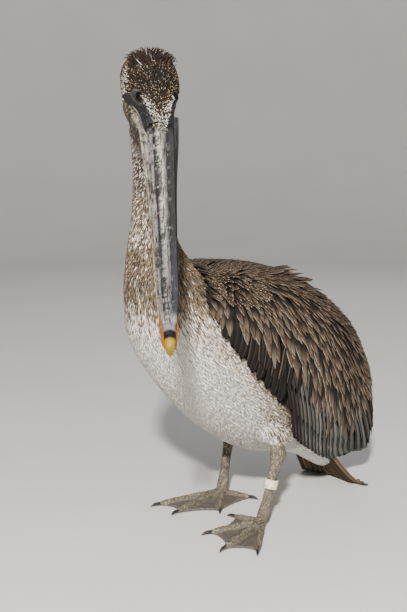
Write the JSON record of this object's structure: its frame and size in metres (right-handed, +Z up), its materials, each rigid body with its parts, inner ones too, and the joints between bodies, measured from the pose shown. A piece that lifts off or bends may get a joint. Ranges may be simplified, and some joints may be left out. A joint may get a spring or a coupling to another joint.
{
  "type": "immature brown pelican",
  "caption": "Life-size standing immature brown pelican, head turned and long bill hanging to its left, wings folded, tail resting on the floor.",
  "frame": {"origin": "under the middle of the bird's outline, on the floor its feet and tail rest on", "axes": "+Z up, -Y the way the body faces, +X the bird's left side, to which its bill points"},
  "size_m": [0.3286, 0.561, 0.5522],
  "materials": {
    "plumage_brown": "matte feathers with pale edges",
    "plumage_buff": "soft matte speckled feathers",
    "plumage_white": "soft matte feathers",
    "bare_skin": "wrinkled bare skin",
    "bill_horn": "mottled satin horn",
    "nail_horn": "smooth yellow horn",
    "eye": "wet gloss",
    "claw_horn": "smooth dark horn",
    "leg_skin": "scaly skin, smooth on the webs",
    "band": "smooth, bare"
  },
  "bodies": {
    "root": {"trunk": "plumage_white", "neck_lower": "plumage_white", "neck_middle": "plumage_buff", "neck_upper": "plumage_buff", "head": "plumage_brown", "eye_left": "eye", "eye_right": "eye", "bill_upper": "bill_horn", "bill_nail": "nail_horn", "bill_lower": "bill_horn", "gular_pouch": "bare_skin", "wing_left": "plumage_brown", "wing_left_flight": "plumage_brown", "wing_right": "plumage_brown", "wing_right_flight": "plumage_brown", "tail": "plumage_brown", "thigh_left": "plumage_white", "thigh_right": "plumage_white", "tarsus_left": "leg_skin", "tarsus_right": "leg_skin", "foot_left": "leg_skin", "foot_right": "leg_skin", "claw_left_hind": "claw_horn", "claw_left_inner": "claw_horn", "claw_left_middle": "claw_horn", "claw_left_outer": "claw_horn", "claw_right_hind": "claw_horn", "claw_right_inner": "claw_horn", "claw_right_middle": "claw_horn", "claw_right_outer": "claw_horn", "leg_band": "band"}
  },
  "joints": []
}
